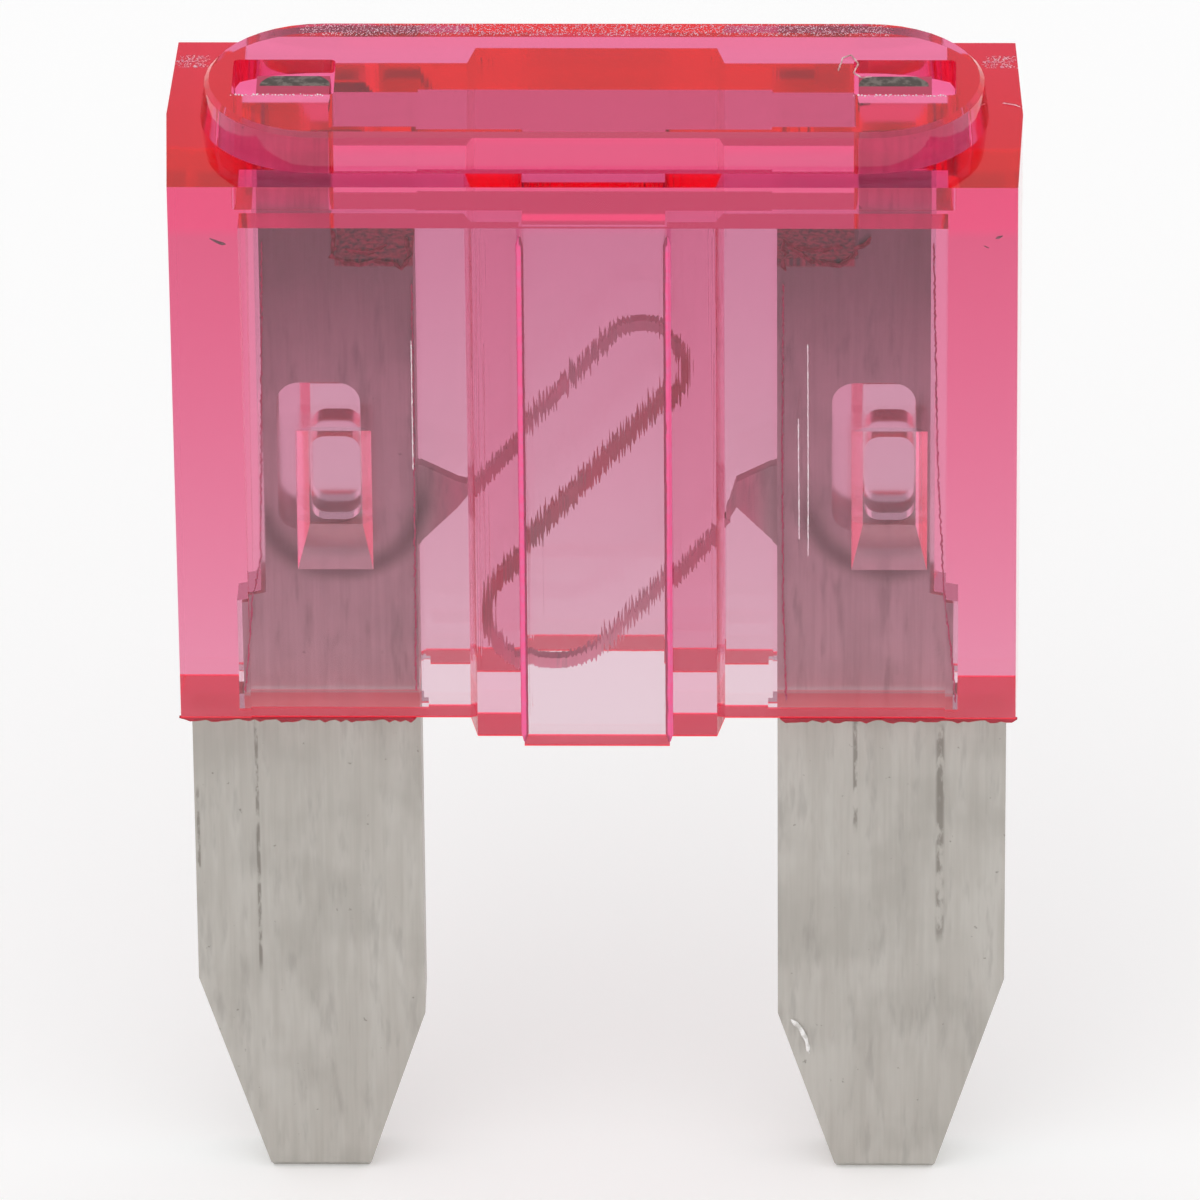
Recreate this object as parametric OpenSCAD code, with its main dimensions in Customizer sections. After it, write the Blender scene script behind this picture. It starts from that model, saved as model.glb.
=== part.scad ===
/* [Housing] */
// Width of the housing across both blades, at its middle
body_w = 10.92; // [10:0.02:12]
// Height of the housing above its seating face
body_h = 8.92; // [8:0.02:10]
// Distance from the blades' middle plane to the front of the end columns at the seating face
foot_front = 1.05; // [0.95:0.01:1.2]
// Distance from the blades' middle plane to the back of the end columns at the seating face
foot_back = 1.17; // [1:0.01:1.3]
// How far each side falls in from its middle to the front and back of the crown
side_draft = 0.08; // [0:0.01:0.15]

/* [Crown] */
// Depth of the crown at its flat top
crown_d = 3.8; // [3.4:0.05:4]
// Height of the plain band between the crown's top and the recesses
collar_h = 0.63; // [0.4:0.01:1]
// Length of the rounded button on the crown, at its foot
flange_w = 10.06; // [9:0.02:10.6]
// Depth of the button at its foot, which is also the diameter of its ends
flange_d = 3.08; // [2.8:0.02:3.4]
// Height of the button
flange_t = 0.54; // [0.4:0.02:0.8]
// How far the button's sides fall in towards its top
flange_draft = 0.06; // [0.02:0.01:0.15]
// Rounding of the button's upper edge
flange_r = 0.06; // [0.04:0.01:0.18]
// Solid thickness between the chamber and the top of the button
roof_t = 1.27; // [1.1:0.01:1.8]

/* [Recesses] */
// Width between the two end columns
recess_w = 9; // [8.8:0.05:9.4]
// Distance from the blades' middle plane to the front windows beside the blades
slab_front = 1.03; // [0.9:0.01:1.1]
// Distance from the blades' middle plane to the back windows
slab_back = 1.15; // [0.95:0.01:1.25]
// Width of the raised middle panel on the front
panel_w = 1.88; // [1.6:0.02:2.4]
// Distance from the blades' middle plane to the middle panel's face
panel_front = 1.73; // [1.6:0.01:1.8]
// Width of the stepped shoulders on both sides of the middle panel, and of the panel on the back
shoulder_w = 3.1; // [2.8:0.05:3.6]
// Distance from the blades' middle plane to the faces of the shoulders
shoulder_front = 1.49; // [1.3:0.01:1.6]
// Distance from the blades' middle plane to the face of the panel on the back
panel_back = 1.55; // [1.3:0.01:1.75]
// Bevel where a shoulder drops to a window
shoulder_bevel = 0.1; // [0.05:0.01:0.2]

/* [Probe slots] */
// Length of each test probe slot
probe_w = 1.3; // [1.15:0.05:1.5]
// Depth of each test probe slot
probe_d = 0.92; // [0.9:0.02:1.4]
// Rounding of a probe slot's corners
probe_r = 0.07; // [0.03:0.01:0.15]

/* [Link chamber] */
// Wall of the middle panel
panel_wall = 0.45; // [0.3:0.05:0.7]
// Step between the middle panel's edge and the chamber behind it
panel_step = 0.03; // [0.01:0.01:0.1]
// Distance from the blades' middle plane to the back of the chamber at the seating face
chamber_back = 0.83; // [0.6:0.01:1]
// Depth of the chamber behind the shoulders and windows
side_gap_d = 1.04; // [1:0.02:1.2]

/* [Blades] */
// Thickness of the zinc strip
blade_t = 0.8; // [0.7:0.01:0.85]
// Width of one exposed blade
blade_w = 2.98; // [2.8:0.02:3.1]
// Clear distance between the two blades
blade_gap = 4.65; // [4.4:0.01:4.9]
// Length of the blades below the seating face
blade_l = 7.41; // [6:0.01:8]
// Width of the flat end of a blade
tip_w = 1.27; // [0.9:0.01:1.7]
// Distance from the outer edge of a blade to its flat end
tip_inset = 0.93; // [0.6:0.01:1.2]
// Height of the slanted outer edge at the tip
tip_outer_h = 3; // [2:0.05:3.4]
// Height of the slanted inner edge at the tip
tip_inner_h = 2.46; // [1.8:0.02:3]
// Bevel along the edges of a blade's flat end
tip_bevel = 0.1; // [0.04:0.01:0.2]

/* [Blade roots inside the housing] */
// Width of the root just above the seating face
root_w = 2.28; // [2.1:0.02:2.5]
// Height of that wider root
root_h = 1.6; // [1:0.05:2]
// Width of the root above it
stem_w = 1.97; // [1.8:0.01:2]
// Distance from the stem's cut top to the ceiling of the chamber
stem_drop = 1.02; // [0.5:0.02:1.2]
// Width of the tongue that reaches up into the probe slot
tongue_w = 0.93; // [0.8:0.01:1.05]
// Distance from the tongue's torn end to the top of the button
tongue_drop = 0.04; // [0.02:0.02:0.6]
// Bevel at the front and back of the tongue's torn end
tongue_bevel = 0.3; // [0.1:0.02:0.36]
// Small burr bevel on the other side of that end
burr_bevel = 0.04; // [0.02:0.01:0.1]
// Distance of the staking hole's middle from the middle of the stem, towards the outside
hole_shift = 0.26; // [0:0.01:0.3]
// Width of the staking hole
hole_w = 1.08; // [1:0.02:1.2]
// Height of the staking hole
hole_h = 2.2; // [1.8:0.05:2.4]
// Height of the staking hole's middle above the seating face
hole_z = 3.7; // [3.3:0.05:4.1]
// Rounding of the staking hole's corners
hole_r = 0.3; // [0.2:0.02:0.4]

/* [Fusible link] */
// Width of the link's middle run
link_w = 0.2; // [0.14:0.01:0.3]
// Width of the link's turns and outer runs
outer_w = 0.15; // [0.1:0.01:0.24]
// Thickness of the link after coining
link_t = 0.16; // [0.1:0.01:0.4]
// Slope of the link's straight runs
link_angle = 50.5; // [48:0.5:52]
// Radius of the upper turn at the middle of the link
upper_r = 0.55; // [0.45:0.01:0.6]
// Radius of the lower turn at the middle of the link
lower_r = 0.87; // [0.75:0.01:0.9]
// Height where the middle run crosses the centre line
link_z = 3.29; // [3.1:0.05:3.5]
// Distance of the upper turn's centre from the centre line
upper_x = 0.6; // [0.5:0.02:0.7]
// Distance of the lower turn's centre from the centre line
lower_x = 0.57; // [0.45:0.01:0.65]
// Distance of the link's ends from the centre line
lug_tip_x = 1.66; // [1.5:0.02:1.8]
// Distance of the lugs' waists from the centre line
lug_waist_x = 1.8; // [1.74:0.02:1.9]
// Height of a lug at its waist
lug_waist_h = 0.38; // [0.3:0.02:0.5]
// Height of the middle of both waists
lug_z = 2.93; // [2.8:0.01:3.1]
// How far the lugs widen upwards where they join the blades
lug_up = 0.28; // [0.2:0.02:0.4]
// How far the lugs widen downwards where they join the blades
lug_down = 0.56; // [0.4:0.02:0.7]
// How far the lugs reach into the blades
lug_root = 0.05; // [0.02:0.01:0.1]

/* [Stakes] */
// How far the punch marks sit to the right of the staking holes
punch_shift = 0.2; // [0:0.02:0.22]
// Width of the punched pit at the window's face
pit_w = 0.98; // [0.8:0.02:1.1]
// Height of the punched pit at the window's face
pit_h = 2.08; // [1.8:0.02:2.2]
// Height of the pit's middle above the seating face
pit_z = 3.27; // [3.1:0.01:3.5]
// Depth of the pit
pit_depth = 0.45; // [0.3:0.01:0.5]
// Width of the pit's floor
pit_floor_w = 0.68; // [0.5:0.02:0.8]
// How far the lower wall of the pit slopes in
pit_slope = 0.42; // [0.3:0.02:0.6]
// How far the upper wall of the pit slopes in
pit_draft = 0.1; // [0.02:0.02:0.2]
// Width of the plug that the punch pushes into the hole
plug_w = 0.64; // [0.5:0.02:0.7]
// Height of that plug
plug_h = 1.24; // [1:0.02:1.4]
// How far the plug reaches into the blade's thickness
plug_reach = 0.26; // [0.15:0.01:0.35]
// Rounding of the plug's corners
plug_r = 0.2; // [0.1:0.02:0.3]
// How far the plug's middle lies below the hole's middle
plug_shift = 0.4; // [0.2:0.02:0.5]

/* [Fits] */
// Clearance between the blade's faces and its slot
slot_clear = 0.05; // [0.02:0.01:0.1]
// Gap between the blades' shoulders and the seating face
seat_gap = 0.04; // [0.02:0.01:0.1]
// Clearance beside and above the blade roots
side_clear = 0.06; // [0.03:0.01:0.12]
// Lead-in bevel at the mouth of the blade slots
lead_in = 0.2; // [0.1:0.02:0.3]

/* [Hidden] */
$fn = 64;
// Small overlap that lets cuts pass clean through a face
cut = 0.01;
// Flat top of the crown, upper end of the recesses, ceiling of the chamber and blade tops below it
crown_z = body_h - flange_t;
collar_z = crown_z - collar_h;
ceiling_z = body_h - roof_t;
stem_z = ceiling_z - stem_drop;
tongue_z = body_h - tongue_drop;
// Distances of the blade's edges from the centre line
inner_x = blade_gap / 2;
outer_x = inner_x + blade_w;
root_x = inner_x + root_w;
stem_x = inner_x + stem_w;
tongue_x = stem_x - tongue_w;
hole_x = inner_x + stem_w / 2 + hole_shift;
// Middle of the probe slot, which clears the tongue on both sides
probe_x = tongue_x - side_clear + probe_w / 2;
// Half depth of the blade slot and of the chamber behind the middle panel
slot_y = blade_t / 2 + slot_clear;
chamber_front = panel_front - panel_wall;
// Straight runs of the link, each given by its distance from the origin along the runs' normal
run = [cos(link_angle), sin(link_angle)];
middle_run = run[0] * link_z;
upper_run = middle_run + 2 * upper_r;
lower_run = middle_run - 2 * lower_r;
upper_c = [upper_x, (middle_run + upper_r + upper_x * run[1]) / run[0]];
lower_c = [-lower_x, (middle_run - lower_r - lower_x * run[1]) / run[0]];
// Places where the outer runs meet the lugs
left_tip = [-lug_tip_x, (upper_run - lug_tip_x * run[1]) / run[0]];
right_tip = [lug_tip_x, (lower_run + lug_tip_x * run[1]) / run[0]];

// Rectangle with round corners, centred on the origin
module round_rect(w, h, r) {
    square([w - 2 * r, h], center = true);
    square([w, h - 2 * r], center = true);
    for (x = [-1, 1], y = [-1, 1])
        translate([x * (w / 2 - r), y * (h / 2 - r)])
            circle(r);
}

// Stands a drawing in the X-Z plane up and gives it a thickness centred on Y = 0
module upright(thickness) {
    translate([0, thickness / 2, 0])
        rotate([90, 0, 0])
            linear_extrude(thickness)
                children();
}

// Carries a drawing of the Y-Z plane along X, centred on x = 0
module along_x(length) {
    translate([-length / 2, 0, 0])
        rotate([90, 0, 90])
            linear_extrude(length)
                children();
}

// Both sides of the fuse: the left one is the mirror image of the right one
module both_ends() {
    for (x = [0, 1])
        mirror([x, 0, 0])
            children();
}

// Front and back of the fuse
module both_faces() {
    for (y = [0, 1])
        mirror([0, y, 0])
            children();
}

// Half section of the button: the distance from its middle line against its height
module flange_section(reach) {
    top = reach - flange_draft;
    polygon([
        [0, crown_z - cut],
        [reach, crown_z - cut],
        [reach, crown_z],
        [top, body_h - flange_r],
        [top - flange_r, body_h],
        [0, body_h]
    ]);
}

// The rounded button: a straight middle between two turned ends
module flange() {
    straight = flange_w - flange_d;
    along_x(straight)
        both_sides_2d()
            flange_section(flange_d / 2);
    both_ends()
        translate([straight / 2, 0, 0])
            rotate_extrude()
                flange_section(flange_d / 2);
}

// A section and its mirror image
module both_sides_2d() {
    children();
    mirror([1, 0])
        children();
}

// Wedge-shaped body from the seating face up to the flat top of the crown
module body() {
    intersection() {
        along_x(body_w)
            polygon([
                [-foot_front, 0],
                [foot_back, 0],
                [crown_d / 2, crown_z],
                [-crown_d / 2, crown_z]
            ]);
        linear_extrude(crown_z)
            both_sides_2d()
                polygon([
                    [0, -crown_d / 2],
                    [body_w / 2 - side_draft, -crown_d / 2],
                    [body_w / 2, 0],
                    [body_w / 2 - side_draft, crown_d / 2],
                    [0, crown_d / 2]
                ]);
    }
}

// Recesses of both faces between the end columns, below the collar
module recesses() {
    translate([-recess_w / 2, -slab_front - crown_d, -cut])
        cube([recess_w, crown_d, collar_z + cut]);
    translate([-recess_w / 2, slab_back, -cut])
        cube([recess_w, crown_d, collar_z + cut]);
}

// Outline of the panels seen from above: two steps on the front, one on the back
module panel_outline() {
    foot = shoulder_w / 2 + shoulder_bevel;
    translate([-panel_w / 2, -panel_front])
        square([panel_w, panel_front]);
    both_sides_2d()
        polygon([
            [0, -shoulder_front],
            [shoulder_w / 2, -shoulder_front],
            [foot, -slab_front],
            [foot, slab_back],
            [shoulder_w / 2, panel_back],
            [0, panel_back]
        ]);
}

// Chamber that the link hangs in: wide between the blades, deeper behind the middle panel
module chamber() {
    along_x(panel_w - 2 * panel_step)
        polygon([
            [-chamber_front, -cut],
            [chamber_back, -cut],
            [side_gap_d / 2, ceiling_z],
            [-chamber_front, ceiling_z]
        ]);
    along_x(2 * (inner_x - side_clear))
        translate([-side_gap_d / 2, -cut])
            square([side_gap_d, ceiling_z + cut]);
}

// Pocket for one blade root, with its stepped outer side and the bevel at its mouth
module blade_pocket() {
    inner = inner_x - 2 * side_clear;
    upright(2 * slot_y)
        polygon([
            [inner, -cut],
            [root_x + side_clear, -cut],
            [root_x + side_clear, root_h + side_clear],
            [stem_x + side_clear, root_h + 2 * side_clear],
            [stem_x + side_clear, ceiling_z],
            [inner, ceiling_z]
        ]);
    translate([(inner + root_x + side_clear) / 2, 0, 0])
        along_x(root_x + side_clear - inner)
            polygon([
                [-slot_y - lead_in, -cut],
                [slot_y + lead_in, -cut],
                [slot_y, lead_in],
                [-slot_y, lead_in]
            ]);
}

// Slot through the crown for a test probe
module probe_slot() {
    translate([probe_x, 0, ceiling_z - cut])
        linear_extrude(body_h - ceiling_z + 2 * cut)
            round_rect(probe_w, probe_d, probe_r);
}

// Pit left by the staking punch in a face at the given distance: steep at the top, sloped below
module stake_pit(face) {
    floor_y = face - pit_depth;
    intersection() {
        translate([hole_x, 0, 0])
            along_x(pit_w)
                polygon([
                    [-face - cut, pit_z - pit_h / 2],
                    [-floor_y, pit_z - pit_h / 2 + pit_slope],
                    [-floor_y, pit_z + pit_h / 2 - pit_draft],
                    [-face - cut, pit_z + pit_h / 2]
                ]);
        translate([hole_x, 0, 0])
            linear_extrude(body_h)
                both_sides_2d()
                    polygon([
                        [0, -face - cut],
                        [pit_w / 2, -face - cut],
                        [pit_floor_w / 2, -floor_y],
                        [0, -floor_y]
                    ]);
    }
}

// Plug of plastic that the punch pushed into the hole of the blade
module stake_plug() {
    base_y = slot_y + cut;
    translate([hole_x, -base_y, hole_z - plug_shift])
        rotate([-90, 0, 0])
            linear_extrude(base_y - blade_t / 2 + plug_reach)
                round_rect(plug_w, plug_h, plug_r);
}

module housing() {
    color([0.93, 0.35, 0.55, 0.6])
        union() {
            difference() {
                union() {
                    difference() {
                        body();
                        recesses();
                    }
                    flange();
                    linear_extrude(collar_z + cut)
                        panel_outline();
                }
                chamber();
                both_ends() {
                    blade_pocket();
                    probe_slot();
                }
                translate([punch_shift, 0, 0])
                    both_ends() {
                        stake_pit(slab_front);
                        mirror([0, 1, 0])
                            stake_pit(slab_back);
                    }
            }
            translate([punch_shift, 0, 0])
                both_ends()
                    both_faces()
                        stake_plug();
        }
}

// Outline of the right blade with its root, stem and tongue, without the hole
module blade_outline() {
    polygon([
        [inner_x, stem_z],
        [inner_x, -blade_l + tip_inner_h],
        [outer_x - tip_inset - tip_w, -blade_l],
        [outer_x - tip_inset, -blade_l],
        [outer_x, -blade_l + tip_outer_h],
        [outer_x, -seat_gap],
        [root_x, -seat_gap],
        [root_x, root_h],
        [stem_x, root_h + side_clear],
        [stem_x, tongue_z],
        [tongue_x, tongue_z],
        [tongue_x, stem_z]
    ]);
}

// Side view that thins the flat end of a blade and the torn end of its tongue
module blade_side() {
    half = blade_t / 2;
    polygon([
        [-half, -blade_l + tip_bevel],
        [-half + tip_bevel, -blade_l],
        [half - tip_bevel, -blade_l],
        [half, -blade_l + tip_bevel],
        [half, tongue_z - tongue_bevel],
        [half - tongue_bevel, tongue_z],
        [-half + burr_bevel, tongue_z],
        [-half, tongue_z - burr_bevel]
    ]);
}

// One blade in full thickness
module blade() {
    intersection() {
        upright(blade_t)
            difference() {
                blade_outline();
                translate([hole_x, hole_z])
                    round_rect(hole_w, hole_h, hole_r);
            }
        translate([(inner_x + outer_x) / 2, 0, 0])
            along_x(blade_w + 1)
                blade_side();
    }
}

// Straight run of the link between two distances along its direction
module link_run(offset_n, from_s, to_s, width) {
    rotate(link_angle)
        translate([from_s, offset_n - width / 2])
            square([to_s - from_s, width]);
}

// Half ring that turns the link, opening against the direction given
module link_turn(centre, radius, facing) {
    translate(centre)
        rotate(link_angle + facing)
            difference() {
                circle(radius + outer_w / 2);
                circle(radius - outer_w / 2);
                translate([-2 * radius, -2 * radius])
                    square([2 * radius, 4 * radius]);
            }
}

// Distance of a point along the direction of the runs
function along(p) = p[0] * run[0] + p[1] * run[1];

// The S-shaped link with the lugs that join it to the blades
module link_outline() {
    link_run(upper_run, along(left_tip), along(upper_c) + cut, outer_w);
    link_turn(upper_c, upper_r, 0);
    link_run(middle_run, along(lower_c) - cut, along(upper_c) + cut, link_w);
    link_turn(lower_c, lower_r, 180);
    link_run(lower_run, along(lower_c) - cut, along(right_tip), outer_w);
    lug(left_tip, -1);
    lug(right_tip, 1);
}

// Lug that carries the end of the link to the blade's edge, on the left (-1) or the right (1)
module lug(tip, hand) {
    waist = hand * lug_waist_x;
    edge = hand * inner_x;
    root = hand * (inner_x + lug_root);
    polygon([
        [tip[0], tip[1] - outer_w / 2],
        [tip[0], tip[1] + outer_w / 2],
        [waist, lug_z + lug_waist_h / 2],
        [edge, lug_z + lug_waist_h / 2 + lug_up],
        [root, lug_z + lug_waist_h / 2 + lug_up],
        [root, lug_z - lug_waist_h / 2 - lug_down],
        [edge, lug_z - lug_waist_h / 2 - lug_down],
        [waist, lug_z - lug_waist_h / 2]
    ]);
}

module fuse_element() {
    color([0.72, 0.72, 0.7])
        union() {
            both_ends()
                blade();
            upright(link_t)
                link_outline();
        }
}

housing();
fuse_element();
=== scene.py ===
"""Looks of a small automotive blade fuse: clear pink housing, zinc blades, wear, painted light and shade, floor,
light and camera.
"""

import math
import random

import bmesh
import bpy
from mathutils import Matrix, Vector


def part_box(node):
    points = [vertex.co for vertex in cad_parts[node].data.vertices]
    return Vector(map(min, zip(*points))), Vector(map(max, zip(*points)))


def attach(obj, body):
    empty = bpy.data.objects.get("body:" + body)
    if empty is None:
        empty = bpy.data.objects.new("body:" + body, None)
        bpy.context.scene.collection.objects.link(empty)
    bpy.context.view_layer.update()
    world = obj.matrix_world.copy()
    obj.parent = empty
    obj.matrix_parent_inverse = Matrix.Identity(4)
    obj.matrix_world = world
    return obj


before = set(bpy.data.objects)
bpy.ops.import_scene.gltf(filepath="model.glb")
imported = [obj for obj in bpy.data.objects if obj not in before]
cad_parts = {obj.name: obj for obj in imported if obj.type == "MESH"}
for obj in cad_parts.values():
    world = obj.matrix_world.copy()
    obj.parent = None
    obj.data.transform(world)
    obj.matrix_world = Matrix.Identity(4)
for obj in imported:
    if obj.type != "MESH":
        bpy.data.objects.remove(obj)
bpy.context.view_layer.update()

bl_info = {
    "name": "Blade fuse looks",
    "version": (1, 1, 0),
    "blender": (4, 5, 0),
    "location": "3D View > Sidebar > Fuse",
    "description": "Dresses the packed blade fuse and sets up its studio",
    "category": "Object",
}

MM = 0.001
BODY = "root"
PLASTIC_SLOT = "pink_plastic"
ZINC_SLOT = "zinc"
FLOAT, VECTOR = "NodeSocketFloat", "NodeSocketVector"

TOP_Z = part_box("housing")[1].z
ELEMENT_LOW, ELEMENT_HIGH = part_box("fuse_element")
TIP_Z = ELEMENT_LOW.z
TONGUE_Z = ELEMENT_HIGH.z

# Places on the housing, as heights or distances from the middle; four values rise, stay and fall
FOOT_EDGE_Z = 0.02 * MM
GLOW_FROM_Z = -0.0015 * MM
# heights over which the painted shade in the housing's tint changes
SHADE_TINT_Z = (0.4 * MM, 7.4 * MM)
CROWN_Z = (7.55 * MM, 7.8 * MM)
BUTTON_Z = (8.42 * MM, 8.5 * MM)
PUNCHED_X = (2.75 * MM, 2.85 * MM, 4.35 * MM, 4.45 * MM)
PUNCHED_Z = (2.1 * MM, 2.2 * MM, 4.35 * MM, 4.45 * MM)
CHAMBER_X = (1.75 * MM, 1.5 * MM)
CHAMBER_Z = (7.6 * MM, 7.3 * MM)
EAR_Z = 8.381 * MM
WALL_Y = (-1.045 * MM, -0.99 * MM)
SLOT_FRONT_Y = -0.47 * MM

# Surface of the plastic
PLASTIC_IOR = 1.58
UPRIGHT = 0.5
DRAW_ACROSS = 34000.0
DRAW_ALONG = 420.0
DRAW_HEIGHT = 0.0014 * MM
DRAW_ON_CHAMBER = 2.0
DRAW_ELSEWHERE = 0.15

# Places on the zinc element
PIT_Z = 3.05 * MM
PITS_X = (-3.30 * MM, 3.77 * MM)
RING_INNER = 0.78 * MM
RING_OUTER = 1.3 * MM
RING_FADE_Z = (PIT_Z + 0.3 * MM, PIT_Z - 0.4 * MM)
# heights where the painted light inside the housing turns to painted shade, and where the tongues' painted light
# begins
SHADE_INSIDE_Z = (4.2 * MM, 6.9 * MM)
TONGUES_Z = (7.4 * MM, 7.7 * MM)
LINK_X = (2.3 * MM, 1.9 * MM)
LINK_ANGLE = math.radians(50.5)
LINK_Z = 3.29 * MM
LINK_MIDDLE_RUN = (0.2 * MM, 0.45 * MM)
SHOULDER_Z = (6.5 * MM, 6.55 * MM, 6.7 * MM, 6.75 * MM)
SHOULDER_X = (3.34 * MM, 3.3 * MM)
# height band of the painted red glow on the zinc just above the seat
FOOT_GLOW_Z = (0.0, 0.02 * MM, 0.16 * MM, 0.21 * MM)
TONGUE_END_Z = (TONGUE_Z - 0.02 * MM, TONGUE_Z - 0.01 * MM)
CRESCENT_MIDDLE = (3.80 * MM, -0.17 * MM)
CRESCENT_REACH = (0.46 * MM, 0.36 * MM)
CRESCENT_FRONT_Y = (-0.15 * MM, -0.17 * MM)
CRESCENT_RIM = (1.5, 1.6)
CRESCENT_UNEVEN = 1.2

# Colours of the marks on the zinc
ROLLING_LINE = (0.25, 0.23, 0.20)
BRIGHT_STREAK = (0.72, 0.70, 0.66)
SMUDGE = (0.30, 0.28, 0.25)
STAIN = (0.27, 0.25, 0.23)
PIT = (0.14, 0.12, 0.10)
SCRATCH = (0.13, 0.11, 0.09)
# painted shade: dark ring under each stake pit
PIT_SHADE_RING = (0.20, 0.13, 0.12)
# painted shade on the tongues' ends, darker and paler
TONGUE_END_SHADE = (0.10, 0.08, 0.07)
TONGUE_END_PALER_SHADE = (0.24, 0.20, 0.18)
# painted light: the red glow of the housing's foot, on the zinc
FOOT_GLOW_RED = (0.95, 0.16, 0.20)
TORN_LINE = (0.12, 0.02, 0.04)

# Rubbed lines down the blades: place across, half width, top and bottom, in mm
SCRATCHES = (
    (-4.48, 0.035, -0.1, -4.4),
    (-5.26, 0.03, -1.4, -3.0),
    (4.45, 0.075, -0.4, -3.9),
    (3.34, 0.045, 0.0, -2.2),
)
SCRATCH_CORE = 0.3
SCRATCH_FADE = (0.3, 0.2)
SCRATCH_DEPTH = 0.6

# Finishes of the small pieces: colour, mottling, roughness and metallic
FINISHES = {
    "pale_dust": ((0.86, 0.62, 0.70), (0.95, 0.86, 0.88), 0.9, 0.0),
    "grey_grime": ((0.30, 0.27, 0.24), (0.55, 0.52, 0.48), 0.8, 0.2),
    "torn_plastic": ((0.36, 0.045, 0.10), (0.62, 0.12, 0.22), 0.35, 0.0),
    "button_bloom": ((0.80, 0.40, 0.50), (0.88, 0.62, 0.70), 0.85, 0.0),
    # painted highlight: pale grains on the ears' backs
    "ear_painted_highlight": ((0.80, 0.34, 0.44), (0.88, 0.60, 0.66), 0.8, 0.0),
    "lint": ((0.52, 0.30, 0.30), (0.80, 0.62, 0.60), 0.9, 0.0),
    "glowing_edge": ((0.93, 0.10, 0.29), (0.86, 0.13, 0.33), 0.5, 0.0),
    # a burr painted bright as a highlight
    "burr_painted_highlight": ((0.88, 0.87, 0.86), (0.62, 0.60, 0.57), 0.25, 0.4),
    # painted light: red lines along the pockets' edges
    "pocket_edge_red_light": ((0.80, 0.16, 0.34), (0.72, 0.34, 0.46), 0.4, 0.0),
}

# Lines of points that the threads follow, in mm
FIBRE = [[(3.10, 0.16, 8.92), (3.16, 0.50, 8.93), (3.27, 0.56, 8.94), (3.36, 0.36, 8.92), (3.30, 0.12, 8.92),
          (3.41, -0.03, 8.93), (3.53, 0.02, 8.92)]]
# painted light: hot pink threads along the panel edges, for the light at their rounded edges
PANEL_EDGES = [[(x, -1.69, 7.55), (x, -1.69, 4.0), (x, -1.69, 0.05)] for x in (-0.935, 0.935)]
HAIRS = [
    [(5.20, 0.30, 8.385), (5.36, 0.24, 8.39), (5.43, 0.19, 8.385)],
    [(2.72, -1.032, 5.60), (2.725, -1.032, 4.0), (2.725, -1.032, 2.45)],
    [(2.60, -1.032, 4.50), (2.61, -1.032, 2.70)],
    [(-2.35, -1.032, 5.65), (-2.35, -1.032, 3.73)],
]
SPECKS = [
    [(-4.86, -1.50, 7.50), (-4.74, -1.50, 7.45), (-4.66, -1.50, 7.42)],
    [(5.10, -1.50, 7.50), (5.20, -1.50, 7.56)],
    [(4.96, -1.50, 7.40), (5.02, -1.50, 7.38)],
    [(-3.60, -1.50, 8.31), (-3.52, -1.50, 8.33)],
]
# a burr along the tip's corner, painted bright as a highlight
BURR = [[(2.50, -0.40, -5.05), (2.60, -0.42, -5.14), (2.69, -0.42, -5.32), (2.74, -0.40, -5.58)]]
# painted light: red threads along the edges of the blade pockets' walls
POCKET_EDGE_LINES = [
    [(4.33, -0.47, 6.9), (4.37, -0.47, 4.6), (4.40, -0.47, 3.4), (4.49, -0.47, 1.6), (4.57, -0.47, 1.0),
     (4.64, -0.47, 0.1)],
    [(-4.25, -0.47, 6.9), (-4.30, -0.47, 4.4), (-4.35, -0.47, 2.2), (-4.47, -0.47, 1.6), (-4.59, -0.47, 0.2)],
    [(2.41, -0.47, 6.3), (2.39, -0.47, 3.8), (2.40, -0.47, 1.6), (2.44, -0.47, 0.1)],
    [(-2.34, -0.47, 6.3), (-2.35, -0.47, 3.5), (-2.37, -0.47, 0.2)],
]
TEARS = [
    [(-3.36, -0.47, 7.12), (-3.34, -0.47, 6.72), (-3.20, -0.47, 6.58), (-2.75, -0.47, 6.62), (-2.45, -0.47, 6.55),
     (-2.36, -0.47, 6.74), (-2.42, -0.47, 6.98)],
    [(-3.18, -0.47, 6.80), (-2.90, -0.47, 6.74), (-2.66, -0.47, 6.86)],
    [(2.42, -0.47, 6.48), (2.43, -0.47, 6.92), (2.75, -0.47, 6.62), (3.20, -0.47, 6.60), (3.52, -0.47, 6.98)],
    [(2.60, -0.47, 6.84), (2.95, -0.47, 6.78), (3.15, -0.47, 6.86)],
]
TEAR_UNEVEN = (0.7, 1.25)
EDGE_UNEVEN = (0.97, 1.03)
THREAD_TIP = 0.35

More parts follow.
